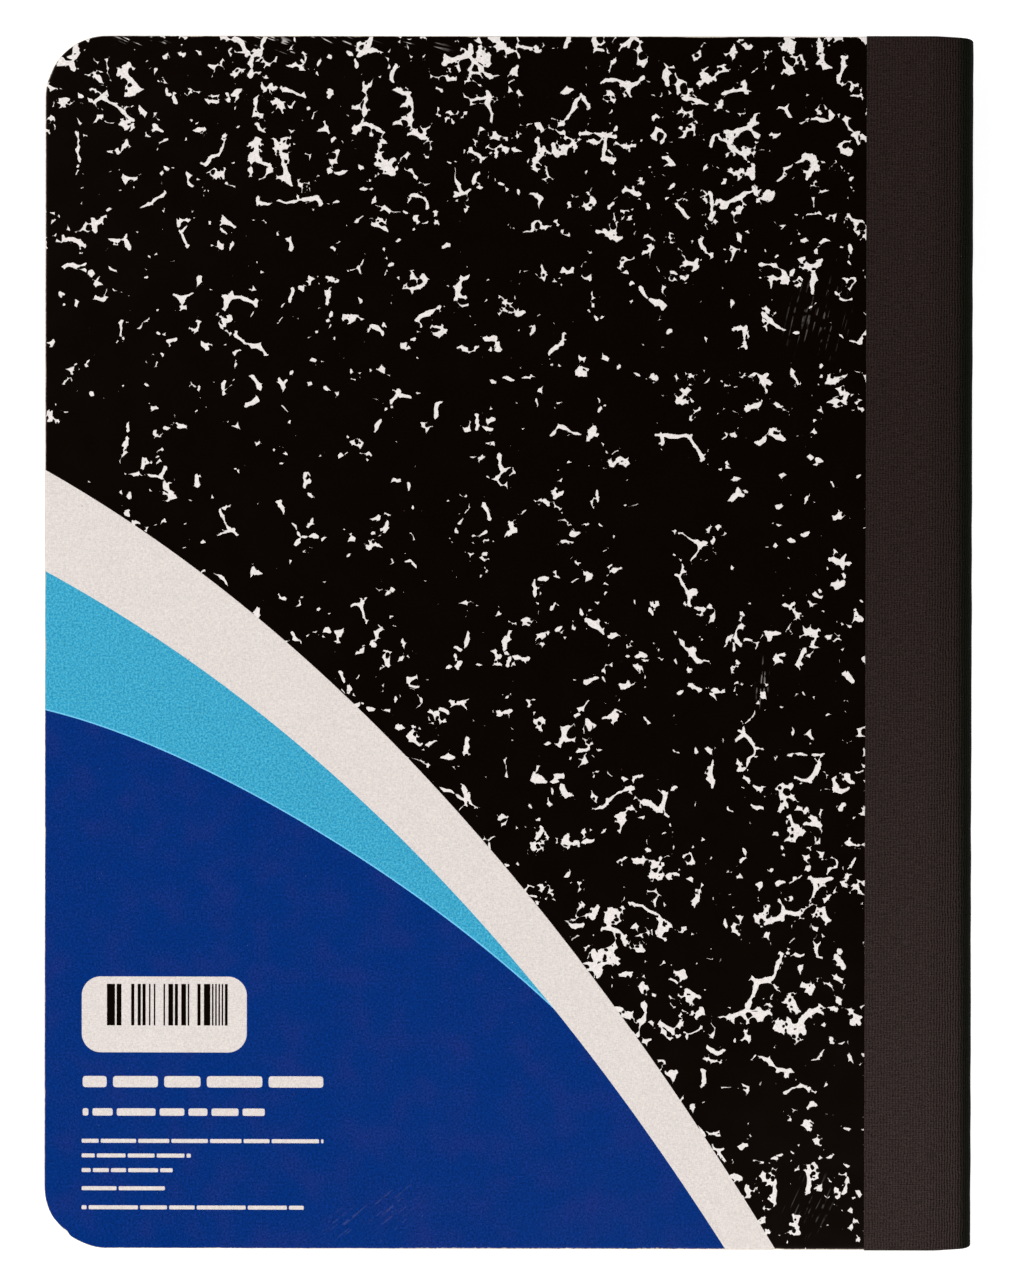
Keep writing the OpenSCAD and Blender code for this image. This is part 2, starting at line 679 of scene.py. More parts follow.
@dataclass(frozen=True)
class PrintedCover(Finish):
    """Varnished print on the outside of a cover board: marbling all over."""

    name: str
    seed: float
    specular: ClassVar[float] = 0.2
    sheen: ClassVar[Colour] = (1.0, 0.82, 0.74, 1.0)
    black: Colour = srgb(8, 3, 1)
    white: Colour = srgb(228, 219, 214)
    spot_white: Colour = srgb(240, 233, 229)
    bare_board: Colour = srgb(200, 188, 172)
    dirt: Colour = srgb(70, 52, 44)
    thick_ink: float = 0.36
    thick_from: float = 135.0
    thick_to: float = 45.0
    thin_ink: float = 0.26
    thin_from: float = 20.0
    thin_to: float = -60.0
    rubbed: float = 0.16
    broken_size: float = 1.8
    broken_edge: Pair = (0.42, 0.62)
    line_edge: Pair = (0.66, 0.72)
    dust_strength: float = 0.25
    dirt_strength: float = 0.7
    shine: Pair = (0.2, 0.27)
    bare_roughness: float = 0.8
    tooth_share: float = 0.07
    warp_size: float = 28.0
    scratches: tuple[ScratchPatch, ...] = ()

    def marbled(self, graph: Graph, place: Wire) -> Wire:
        """Draws the marbled field.

        Args:
            graph: The material's graph.
            place: Flat place on the cover, in millimetres.

        Returns:
            The field's colour.
        """
        height = graph.split(place)[1]
        thick = graph.step(height, self.thick_from, self.thick_to) * self.thick_ink
        thin = graph.step(height, self.thin_from, self.thin_to) * self.thin_ink
        white = Marbling.add(graph, place=place, ink=thick - thin, seed=self.seed)[0]
        return graph.mix(white, self.black, self.spot_white)

    def design(self, graph: Graph, place: Wire) -> Wire:
        """Draws everything printed on the cover."""
        return self.marbled(graph, place)

    def wear_reach(self, graph: Graph, place: Wire) -> Feed:
        """Gives how far the print is rubbed off along the edge, in millimetres."""
        return self.rubbed

    def scratched(self, graph: Graph, place: Wire, colour: Wire) -> Wire:
        """Draws hairline scratches over a colour in every patch.

        Args:
            graph: The material's graph.
            place: Flat place on the cover, in millimetres.
            colour: The unscratched colour.

        Returns:
            The colour with the scratches.
        """
        if not self.scratches:
            return colour
        zones = [ScuffZone.add(graph, place=place, **vars(patch)) for patch in self.scratches]
        lanes, strength = (functools.reduce(lambda a, b: a + b, parts) for parts in zip(*zones))
        gaps = graph.grain(place, self.broken_size, detail=1.0, flat=True)
        broken = graph.step(gaps, *self.broken_edge)
        line = graph.step(graph.grain(lanes, 1.0, flat=True), *self.line_edge) * broken
        return graph.mix(line * strength, colour, self.white)

    def draw(self, graph: Graph) -> tuple[Wire, Wire, Wire]:
        """Draws the print and its wear.

        Args:
            graph: The material's graph.

        Returns:
            The colour, the roughness and the height of the relief.
        """
        place = graph.object_place()
        x, y, _ = graph.split(place)
        flat = graph.joined(x, y)
        tooth, cloud = Fibres.add(graph, place=place, size=0.22)
        shade = graph.between(tooth, 0.6, 1.4) + graph.between(cloud, -0.02, 0.02)
        colour = self.scratched(graph, flat, self.design(graph, flat) * shade)
        dust = Specks.add(graph, place=flat, pitch=6.0, size=0.07, share=0.12)[0]
        colour = graph.mix(dust * self.dust_strength, colour, self.white)
        dirt = Specks.add(graph, place=flat, pitch=11.0, size=0.16, share=0.08)[0]
        colour = graph.mix(dirt * self.dirt_strength, colour, self.dirt)
        rim = graph.get("ShaderNodeAttribute", output="Fac", attribute_name="rim")
        worn = RimWear.add(graph, place=place, rim=rim, reach=self.wear_reach(graph, flat), chips=1.0)[0]
        colour = graph.mix(worn, colour, self.bare_board)
        roughness = graph.mix_number(worn, graph.between(cloud, *self.shine), self.bare_roughness)
        return colour, roughness, tooth * self.tooth_share + graph.grain(place, self.warp_size, flat=True)


@dataclass(frozen=True)
class BackPrint(PrintedCover):
    """The back cover's print: marbling above a sweep of white, light blue and dark blue."""

    light_blue: Colour = srgb(38, 150, 192)
    pale_blue: Colour = srgb(82, 184, 214)
    blue_edge: Colour = srgb(118, 205, 245)
    dark_blue: Colour = srgb(3, 47, 121)
    violet_blue: Colour = srgb(23, 46, 120)
    white_top: Sweep = Sweep((-46.6863, -1.19428, -0.00384729, -3.74025e-06))
    blue_top: Sweep = Sweep((-63.674, -1.16161, -0.00414888, -6.29327e-06))
    dark_top: Sweep = Sweep((-66.5295, -0.84967, -0.00428861, -2.7623e-05, -1.59151e-07))
    sweep_blur: float = 0.05
    panel_middle: Pair = (-70.45, -75.95)
    panel_size: Pair = (33.7, 15.5)
    panel_corner: float = 3.9
    bars_x: Pair = (-82.8, -57.5)
    bars_y: Pair = (-78.2, -69.7)
    bar_pitch: float = 0.33
    bar_share: float = 0.5
    bar_blur: float = 0.03
    mottle_size: float = 0.42
    edge_middle: float = 0.12
    edge_half: Pair = (0.22, 0.08)
    frayed: float = 0.34
    frayed_middle: float = 22.0
    frayed_half: float = 52.0
    frayed_below: float = -100.0
    rows: tuple[PrintedRow, ...] = (
        PrintedRow(-87.1, -36.7, -89.7, 2.3, 11.0),
        PrintedRow(-87.1, -49.9, -95.9, 1.5, 6.5),
        PrintedRow(-87.3, -37.9, -101.8, 0.8, 7.5),
        PrintedRow(-87.3, -65.0, -104.8, 0.8, 6.0),
        PrintedRow(-87.3, -68.7, -107.8, 0.8, 5.0),
        PrintedRow(-87.3, -70.3, -111.5, 0.8, 15.0),
        PrintedRow(-87.3, -41.9, -115.4, 0.8, 8.0),
    )
    scratches: tuple[ScratchPatch, ...] = (
        ScratchPatch((-76.0, 123.4, 0.0), -24.0, 9.0, 2.8, 0.85),
        ScratchPatch((-52.0, 123.6, 0.0), -20.0, 13.0, 2.6, 0.8),
        ScratchPatch((-37.0, 123.5, 0.0), -26.0, 9.0, 2.6, 0.8),
        ScratchPatch((-24.0, 123.8, 0.0), -14.0, 13.0, 2.2, 0.55),
        ScratchPatch((62.5, 66.0, 0.0), 76.0, 10.0, 8.0, 0.1),
        ScratchPatch((61.5, -114.5, 0.0), 66.0, 8.0, 6.0, 0.06),
        ScratchPatch((51.5, -8.0, 0.0), 86.0, 6.0, 1.6, 0.25),
        ScratchPatch((-28.0, -117.0, 0.0), 40.0, 15.0, 8.0, 0.03),
    )

    def panel(self, graph: Graph, place: Wire) -> Wire:
        """Masks the pale panel, a rectangle with round corners.

        Args:
            graph: The material's graph.
            place: Flat place on the cover, in millimetres.

        Returns:
            1 on the panel and 0 beside it.
        """
        half = [size / 2 - self.panel_corner for size in self.panel_size]
        beyond = abs(place - (*self.panel_middle, 0.0)) - (*half, 0.0)
        outer = graph.vector("LENGTH", graph.vector("MAXIMUM", beyond, (0.0, 0.0, 0.0)))
        return graph.step(outer, self.panel_corner + self.sweep_blur, self.panel_corner - self.sweep_blur)

    def bars(self, graph: Graph, place: Wire) -> Wire:
        """Draws upright bars of whole random widths, which stand for nothing.

        Args:
            graph: The material's graph.
            place: Flat place on the cover, in millimetres.

        Returns:
            1 on a bar and 0 beside it.
        """
        x, y, _ = graph.split(place)
        (left, right), (foot, top) = self.bars_x, self.bars_y
        strip = graph.math("FLOOR", x / self.bar_pitch)
        chance = graph.get("ShaderNodeTexWhiteNoise", {"W": strip}, "Value", noise_dimensions="1D")
        depth = graph.least(x - left, right - x, top - y, y - foot)
        inside = graph.step(depth, -self.bar_blur, self.bar_blur)
        return graph.math("LESS_THAN", chance, self.bar_share) * inside

    def wear_reach(self, graph: Graph, place: Wire) -> Feed:
        """Widens the wear at the middle of the tail edge.

        Args:
            graph: The material's graph.
            place: Flat place on the cover, in millimetres.

        Returns:
            How far the print is rubbed off along the edge, in millimetres.
        """
        x, y, _ = graph.split(place)
        along = graph.step(abs(x - self.frayed_middle), self.frayed_half, self.frayed_half * 0.7)
        at_tail = graph.math("LESS_THAN", y, self.frayed_below)
        return graph.mix_number(along * at_tail, self.rubbed, self.frayed)

    def design(self, graph: Graph, place: Wire) -> Wire:
        """Lays the sweep, the panel and the rows over the marbling.

        Args:
            graph: The material's graph.
            place: Flat place on the cover, in millimetres.

        Returns:
            The cover's colour.
        """
        mottle = graph.grain(place, self.mottle_size, detail=1.0, rough=0.8, flat=True)
        light = graph.mix(graph.step(mottle, 0.25, 0.75), self.light_blue, self.pale_blue)
        above_dark = self.dark_top.above(graph, place)
        near_dark = graph.step(abs(above_dark - self.edge_middle), *self.edge_half)
        light = graph.mix(near_dark, light, self.blue_edge)
        patch = mottle * 0.9 + graph.grain(place, 7.0, detail=1.0, flat=True)
        dark = graph.mix(graph.step(patch, 0.8, 1.5), self.dark_blue, self.violet_blue)
        dark = dark * graph.between(mottle, 0.45, 1.55)
        fields = (self.white_top.above(graph, place), self.blue_top.above(graph, place), above_dark)
        in_white, in_blue, in_dark = (graph.step(up, self.sweep_blur, -self.sweep_blur) for up in fields)
        colour = graph.mix(in_white, self.marbled(graph, place), self.white)
        colour = graph.mix(in_blue, colour, light)
        colour = graph.mix(in_dark * in_blue, colour, dark)
        for row in self.rows:
            colour = graph.mix(DashedLine.add(graph, place=place, **vars(row))[0], colour, self.white)
        colour = graph.mix(self.panel(graph, place), colour, self.white)
        return graph.mix(self.bars(graph, place), colour, self.black)


@dataclass(frozen=True)
class BoardCore(Finish):
    """The cut edge of a cover board: pale pressed pulp in thin layers."""

    name: ClassVar[str] = "board_core"
    specular: ClassVar[float] = 0.25
    relief: ClassVar[float] = 0.08
    pale: Colour = srgb(206, 198, 186)
    dark: Colour = srgb(158, 147, 132)

    def draw(self, graph: Graph) -> tuple[Wire, Wire, Wire]:
        """Draws the layers of pulp.

        Args:
            graph: The material's graph.

        Returns:
            The colour, the roughness and the height of the relief.
        """
        place = graph.object_place()
        layers = graph.grain(place * (0.12, 0.12, 1.0), 0.16, detail=3.0)
        tooth, cloud = Fibres.add(graph, place=place, size=0.3)
        share = layers * 0.6 + tooth * 0.4
        colour = graph.mix(graph.step(share, 0.35, 0.65), self.dark, self.pale)
        return colour, graph.between(cloud, 0.82, 0.95), share


@dataclass(frozen=True)
class Lining(Finish):
    """The plain inside of a cover board."""

    name: ClassVar[str] = "board_lining"
    relief: ClassVar[float] = 0.02
    pale: Colour = srgb(233, 229, 219)

    def draw(self, graph: Graph) -> tuple[Wire, Wire, Wire]:
        """Draws plain paper.

        Args:
            graph: The material's graph.

        Returns:
            The colour, the roughness and the height of the relief.
        """
        tooth, cloud = Fibres.add(graph, place=graph.object_place(), size=0.3)
        shade = graph.between(tooth, 0.95, 1.02) + graph.between(cloud, -0.015, 0.015)
        return shade * self.pale, graph.between(tooth, 0.7, 0.85), tooth


@dataclass(frozen=True)
class BookSizes:
    """Sizes of the closed book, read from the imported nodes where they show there."""

    fore_x: float
    spine_x: float
    half_h: float
    hinge_x: float
    tape_x: float
    block_lo: float
    block_hi: float
    height: float
    tape_t: float
    corner_r: float = 12.7 * MM
    fold_pinch: float = 0.5 * MM
    spine_corner: float = 0.5 * MM

    @classmethod
    def from_frame(cls) -> "BookSizes":
        """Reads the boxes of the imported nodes.

        Returns:
            The sizes.
        """
        block_lo, block_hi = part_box("page_block")
        board_lo, board_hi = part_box("back_cover")
        wing_lo, wing_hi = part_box("back_tape_wing")
        return cls(
            fore_x=board_lo.x,
            spine_x=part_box("spine_tape")[1].x,
            half_h=board_hi.y,
            hinge_x=board_hi.x,
            tape_x=wing_lo.x,
            block_lo=block_lo.z,
            block_hi=block_hi.z,
            height=wing_hi.z,
            tape_t=wing_hi.z - wing_lo.z,
        )

    @property
    def mid_z(self) -> float:
        """Height of the middle of the book."""
        return self.height / 2

    @property
    def fold_r(self) -> float:
        """Radius of the pressed fold of the leaves."""
        return (self.block_hi - self.block_lo) / 2 - self.fold_pinch

    @property
    def fold_x(self) -> float:
        """Place of the axis of the fold's round."""
        return self.spine_x - self.tape_t - self.fold_r

    def touch_angle(self, rise: float, radius: float) -> float:
        """Finds the angle where a wrap from the hinge, at some rise, meets the fold's round."""
        gap = self.hinge_x - self.fold_x
        return math.atan2(rise, gap) - math.acos(radius / math.hypot(rise, gap))

    def spine_share(self, x: float) -> float:
        """Gives the share of the way from the hinge to the spine, kept from 0 to 1."""
        return min(1.0, max(0.0, (x - self.hinge_x) / (self.spine_x - self.hinge_x)))

    def spine_pull(self, x: float, y: float) -> float:
        """Gives how far the rounded ends of the spine stand back from its full width.

        Args:
            x: Place across the book.
            y: Place along the spine.

        Returns:
            A distance towards the fore-edge.
        """
        over = max(0.0, abs(y) - (self.half_h - self.spine_corner))
        back = self.spine_corner - math.sqrt(max(0.0, self.spine_corner**2 - over**2))
        share = self.spine_share(x)
        return back * share * share * (3 - 2 * share)

    def spine_pull_field(self, graph: Graph, x: Wire, y: Wire) -> Wire:
        """Draws spine_pull as nodes.

        Args:
            graph: The tree's graph.
            x: Place across the book.
            y: Place along the spine.

        Returns:
            A distance towards the fore-edge.
        """
        radius = self.spine_corner
        over = graph.math("MAXIMUM", abs(y) - (self.half_h - radius), 0.0)
        under = graph.math("MAXIMUM", radius**2 - over * over, 0.0)
        return (radius - graph.math("SQRT", under)) * graph.step(x, self.hinge_x, self.spine_x)


@dataclass(frozen=True)
class RuledPaper(Finish):
    """Writing paper: pale leaves with blue rules and a red margin, and a stacked cut edge."""

    sizes: BookSizes
    name: ClassVar[str] = "ruled_paper"
    specular: ClassVar[float] = 0.25
    relief: ClassVar[float] = 0.012
    pale: Colour = srgb(240, 237, 228)
    shade: Colour = srgb(203, 196, 181)
    rule_ink: Colour = srgb(148, 186, 216)
    margin_ink: Colour = srgb(222, 128, 138)
    ink_strength: float = 0.85
    rule_pitch: float = 8.7
    rule_width: float = 0.3
    head_space: float = 27.0
    foot_space: float = 14.0
    margin: float = 31.75
    margin_half: Pair = (0.22, 0.12)
    ink_blur: float = 0.06
    page_facing: Pair = (0.9, 0.95)
    half_shift: float = 40.0

    def rules(self, graph: Graph, place: Wire) -> Wire:
        """Masks the blue rules across a page.

        Args:
            graph: The material's graph.
            place: Place on the book, in millimetres.

        Returns:
            1 on a rule and 0 between them.
        """
        y = graph.split(place)[1]
        half_h = self.sizes.half_h / MM
        down = half_h - self.head_space - y
        beat = graph.math("PINGPONG", down, self.rule_pitch / 2)
        line = graph.step(beat, self.rule_width / 2 + self.ink_blur, self.rule_width / 2 - self.ink_blur)
        foot = self.foot_space - half_h
        return line * graph.step(down, -0.5, -0.4) * graph.step(y, foot, foot + 0.1)

    def draw(self, graph: Graph) -> tuple[Wire, Wire, Wire]:
        """Draws the pages and the stacked edge.

        Args:
            graph: The material's graph.

        Returns:
            The colour, the roughness and the height of the relief.
        """
        place = graph.object_place()
        x, _, z = graph.split(place)
        facing = graph.split(graph.get("ShaderNodeNewGeometry", output="True Normal"))[2]
        page = graph.step(abs(facing), *self.page_facing)
        upper = graph.math("GREATER_THAN", z, self.sizes.mid_z / MM)
        margin_x = graph.mix_number(
            upper, self.sizes.hinge_x / MM - self.margin, self.sizes.fore_x / MM + self.margin
        )
        margin = graph.step(abs(x - margin_x), *self.margin_half)
        sheet = graph.get("ShaderNodeAttribute", output="Fac", attribute_name="sheet")
        leaf = graph.joined(sheet, upper * self.half_shift)
        tone = graph.grain(leaf, 1.3, detail=2.0, rough=0.8, flat=True)
        tooth, cloud = Fibres.add(graph, place=place, size=0.3)
        edge = graph.mix(graph.step(tone, 0.35, 0.62), self.shade, self.pale)
        grey = graph.between(tooth, 0.96, 1.02) + graph.between(cloud, -0.02, 0.02)
        colour = graph.mix(page, edge, self.pale) * grey
        for mark, ink in ((self.rules(graph, place), self.rule_ink), (margin, self.margin_ink)):
            colour = graph.mix(mark * page * self.ink_strength, colour, ink)
        return colour, graph.between(tooth, 0.78, 0.92), tooth


@dataclass(frozen=True)
class SpineCloth(Finish):
    """Black book cloth: fine ribs along the spine, cross threads and a few light flecks, with a painted
    sheen that grows towards the tail and painted shade where the tape rolls round the spine.
    """

    name: ClassVar[str] = "spine_cloth"
    specular: ClassVar[float] = 0.03
    relief: ClassVar[float] = 0.06
    # Painted sheen: the flat colour is the cloth with an overhead sheen painted in, and the next colour is
    # lighter still, a painted sheen towards the tail.
    flat: Colour = srgb(38, 29, 27)
    faded: Colour = srgb(49, 40, 38)
    # Painted shade: near-black cloth where the tape rolls round the spine and turns from the light.
    rolled: Colour = srgb(13, 15, 8)
    fleck: Colour = srgb(110, 102, 96)
    rib_pitch: float = 0.6
    rib_shares: Pair = (0.16, 0.42)
    thread_pitch: float = 0.37
    thread_share: float = 0.12
    slub_share: float = 0.28
    nap_share: float = 0.75
    drift_size: float = 2.4
    drift_depth: float = 0.7
    # How far the weave's level, and with it the colour, drops towards the spine round: painted shade.
    dull_loss: float = 0.13
    shades: Pair = (0.12, 1.9)
    fade_y: Pair = (60.0, -120.0)
    # The reach across the cloth over which the painted shade and the stronger ribs rise.
    dull_reach: Pair = (11.0, 18.5)
    roll_reach: Pair = (17.8, 20.9)

    def draw(self, graph: Graph) -> tuple[Wire, Wire, Wire]:
        """Draws the weave along and across the cloth by its own map.

        Args:
            graph: The material's graph.

        Returns:
            The colour, the roughness and the height of the relief.
        """
        cloth = graph.get("ShaderNodeUVMap", uv_map="cloth") * (1 / MM)
        across, along, _ = graph.split(cloth)
        drift = graph.grain(cloth, self.drift_size, detail=2.0) * self.drift_depth - self.drift_depth / 2
        ribs = graph.ripple(across + drift, self.rib_pitch)
        threads = graph.ripple(along + drift, self.thread_pitch)
        slub = graph.grain(cloth * (0.12, 1.0, 1.0), 0.3, detail=1.0)
        nap = graph.grain(cloth, 0.34, detail=1.0, rough=0.8)
        # Painted shade: this share rises across the cloth towards the spine round, where the tape turns from
        # the light; it darkens the colour and strengthens the ribs.
        ribs_and_shade = graph.step(across, *self.dull_reach)
        weave = slub * self.slub_share + nap * self.nap_share + threads * self.thread_share
        weave += ribs * graph.between(ribs_and_shade, *self.rib_shares)
        # Painted sheen: the cloth is mixed towards the lighter colour at the tail end, and its painted shade
        # eases there.
        tail_sheen = graph.step(graph.split(graph.object_place())[1], *self.fade_y)
        colour = graph.mix(tail_sheen, self.flat, self.faded)
        # Painted shade: the colour is darkened towards the spine round, a little less towards the tail.
        colour = colour * graph.between(ribs_and_shade, 1.0, graph.between(tail_sheen, 0.85, 0.91))
        # Painted shade: the cloth turns to the near-black rolled colour at the spine round.
        roll = graph.step(across + drift * 0.8 - tail_sheen * 0.8, *self.roll_reach)
        # Painted shade: lowering the weave's level towards the spine round darkens the colour there too.
        level = graph.step(weave - ribs_and_shade * self.dull_loss, 0.3, 1.0)
        colour = graph.mix(roll, colour, self.rolled) * graph.between(level, *self.shades)
        lint = Specks.add(graph, place=cloth, pitch=2.2, size=0.09, share=0.06)[0]
        colour = graph.mix(lint * 0.5, colour, self.fleck)
        return colour, graph.between(weave, 0.85, 0.7), weave


@dataclass(frozen=True)
class SewingCotton(Finish):
    """Off-white cotton thread of twisted plies."""

    name: ClassVar[str] = "sewing_cotton"
    relief: ClassVar[float] = 0.08
    pale: Colour = srgb(228, 222, 206)
    dark: Colour = srgb(172, 162, 142)
    twist_pitch: float = 0.7
    twist_slant: float = 0.8

    def draw(self, graph: Graph) -> tuple[Wire, Wire, Wire]:
        """Draws the twisted plies.

        Args:
            graph: The material's graph.

        Returns:
            The colour, the roughness and the height of the relief.
        """
        place = graph.object_place()
        x, y, z = graph.split(place)
        plies = graph.ripple(y + (x + z) * self.twist_slant, self.twist_pitch)
        fuzz = graph.grain(place, 0.12, detail=2.0)
        share = plies * 0.7 + fuzz * 0.3
        return graph.mix(share, self.dark, self.pale), graph.between(fuzz, 0.75, 0.95), share


def new_piece(
    name: str,
    points: Sequence[Triple],
    faces: Sequence[Sequence[int]],
    materials: Sequence[bpy.types.Material],
    face_materials: Sequence[int] | None = None,
) -> bpy.types.Object:
    """Makes a mesh piece at the origin, with its place in its mesh.

    Args:
        name: Name of the piece.
        points: Places of its vertices.
        faces: Vertex numbers of each face, counter-clockwise from outside.
        materials: Its materials.
        face_materials: The number of each face's material.

    Returns:
        The piece, linked to the scene and shaded smooth.
    """
    mesh = bpy.data.meshes.new(name)
    mesh.from_pydata(points, [], faces)
    for material in materials:
        mesh.materials.append(material)
    if face_materials is not None:
        mesh.polygons.foreach_set("material_index", face_materials)
    mesh.shade_smooth()
    mesh.update()
    piece = bpy.data.objects.new(name, mesh)
    bpy.context.scene.collection.objects.link(piece)
    return piece


@dataclass(frozen=True)
class Dent:
    """A place where the edge of a board is pushed in, in millimetres."""

    x: float
    y: float
    depth: float
    reach: float


@dataclass
class CoverBoard:
    """One cover: a die-cut board with a rolled printed rim, a cut edge and a plain lining.

    Each pair of rim is how far in one ring of the edge lies and how far down from the print,
    in millimetres.
    """

    sizes: BookSizes
    side: Side
    finish: PrintedCover
    node: str
    body: str
    slot: Slot
    step: float = 0.55 * MM
    joint_step: float = 4 * MM
    arc_steps: int = 44
    waver: float = 0.07
    slow_size: float = 9.0
    fine_size: float = 1.3
    fine_share: float = 0.35
    seeds: ClassVar[dict[Side, float]] = {Side.BACK: 3.0, Side.FRONT: 11.0}
    far_rim: float = 5.0
    rim: tuple[Pair, ...] = (
        (3.0, 0.0), (1.0, 0.0), (0.4, 0.0), (0.2, 0.02), (0.08, 0.07), (0.02, 0.15),
        (0.0, 0.26), (0.01, 0.5), (0.03, 0.8), (0.12, 0.9), (1.0, 0.9),
    )
    printed_rings: int = 6
    lined_rings: int = 2
    dents: tuple[Dent, ...] = (
        Dent(-90.6, -120.6, 0.3, 0.7),
        Dent(-91.6, -119.6, 0.25, 2.2),
        Dent(-87.5, -122.7, 0.12, 2.5),
        Dent(12.0, -123.8, 0.1, 0.6),
        Dent(55.0, -123.8, 0.09, 0.8),
        Dent(-93.9, 116.0, 0.1, 1.5),
    )

    def straight(self, start: Pair, end: Pair, out: Pair, step: float) -> list[EdgePoint]:
        """Lists the points of a straight side, without its last.

        Args:
            start: Where the side begins.
            end: Where it ends.
            out: The way out from it.
            step: Distance between its points.

        Returns:
            Each point and the way out there.
        """
        count = max(1, round(math.dist(start, end) / step))
        way = (end[0] - start[0], end[1] - start[1])
        return [(start[0] + way[0] * i / count, start[1] + way[1] * i / count, *out) for i in range(count)]

    def corner(self, centre_y: float, start: float) -> list[EdgePoint]:
        """Lists the points of a quarter turn about a fore-edge corner, without its last.

        Args:
            centre_y: Place of the corner's centre along the spine.
            start: Where the turn begins, in degrees.

        Returns:
            Each point and the way out there.
        """
        s = self.sizes
        turns = [math.radians(start + 90 * i / self.arc_steps) for i in range(self.arc_steps)]
        ways = [(math.cos(turn), math.sin(turn)) for turn in turns]
        return [(s.fore_x + s.corner_r * (1 + x), centre_y + s.corner_r * y, x, y) for x, y in ways]

    def outline(self) -> list[EdgePoint]:
        """Follows the trimmed plan of the board counter-clockwise from its inner tail corner.

        Returns:
            Each point and the way out from the edge there.
        """
        s = self.sizes
        inner_x, inner_y = s.fore_x + s.corner_r, s.half_h - s.corner_r
        return [
            *self.straight((s.hinge_x, -s.half_h), (s.hinge_x, s.half_h), (1.0, 0.0), self.joint_step),
            *self.straight((s.hinge_x, s.half_h), (inner_x, s.half_h), (0.0, 1.0), self.step),
            *self.corner(inner_y, 90),
            *self.straight((s.fore_x, inner_y), (s.fore_x, -inner_y), (-1.0, 0.0), self.step),
            *self.corner(-inner_y, 180),
            *self.straight((inner_x, -s.half_h), (s.hinge_x, -s.half_h), (0.0, -1.0), self.step),
        ]

    def push_in(self, x: float, y: float) -> float:
        """Gives how far handling has pushed the edge in at one point, in millimetres.

        Args:
            x: Place on the outline, in millimetres.
            y: Place on the outline, in millimetres.

        Returns:
            A distance inwards.
        """
        slow, fine = (
            noise.noise(Vector((x / size, y / size, self.seeds[self.side])))
            for size in (self.slow_size, self.fine_size)
        )
        depth = self.waver * (0.5 + 0.5 * slow + self.fine_share * fine)
        for dent in self.dents if self.side is Side.BACK else ():
            away = math.hypot(x - dent.x, y - dent.y) / dent.reach
            depth += dent.depth * math.exp(-away * away)
        return max(0.0, depth)

    def ring_slot(self, ring: int) -> int:
        """Gives the material number of the faces below one ring."""
        past_print = 2 if ring >= len(self.rim) - self.lined_rings else 1
        return 0 if ring < self.printed_rings else past_print

    def build(self) -> bpy.types.Object:
        """Builds and dresses the board.

        Returns:
            The board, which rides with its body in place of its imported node.
        """
        s = self.sizes
        outline = self.outline()
        count = len(outline)
        low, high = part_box(self.node)
        top = high.z if self.side is Side.BACK else low.z
        points: list[Triple] = []
        rims: list[float] = []
        for inset, drop in self.rim:
            for x, y, out_x, out_y in outline:
                on_joint = out_x == 1.0
                into = (inset + (0.0 if on_joint else self.push_in(x / MM, y / MM))) * MM
                limit = s.half_h - inset * MM
                inner_x = min(x - out_x * into, s.hinge_x - inset * MM)
                inner_y = min(max(y - out_y * into, -limit), limit)
                points.append((inner_x, inner_y, top - self.side.value * drop * MM))
                rims.append(self.far_rim if on_joint else inset - drop)
        last = (len(self.rim) - 1) * count
        faces = [
            [base + i, base + count + i, base + count + (i + 1) % count, base + (i + 1) % count]
            for base in range(0, last, count)
            for i in range(count)
        ]
        slots = [self.ring_slot(ring) for ring in range(len(self.rim) - 1) for _ in range(count)]
        faces += [list(range(count)), list(range(last, last + count))[::-1]]
        slots += [0, 2]
        if self.side is Side.FRONT:
            faces = [face[::-1] for face in faces]
        finishes = [self.finish.material(), BoardCore().material(), Lining().material()]
        piece = new_piece(f"{self.side.name.lower()}_board", points, faces, finishes, slots)
        rim = piece.data.attributes.new("rim", "FLOAT", "POINT")
        rim.data.foreach_set("value", rims)
        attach(piece, self.body)
        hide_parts(self.node)
        return piece


def between(first: Pair, second: Pair, share: float) -> Pair:
    """Finds the point at a share of the way from one point to another."""
    return first[0] + (second[0] - first[0]) * share, first[1] + (second[1] - first[1]) * share


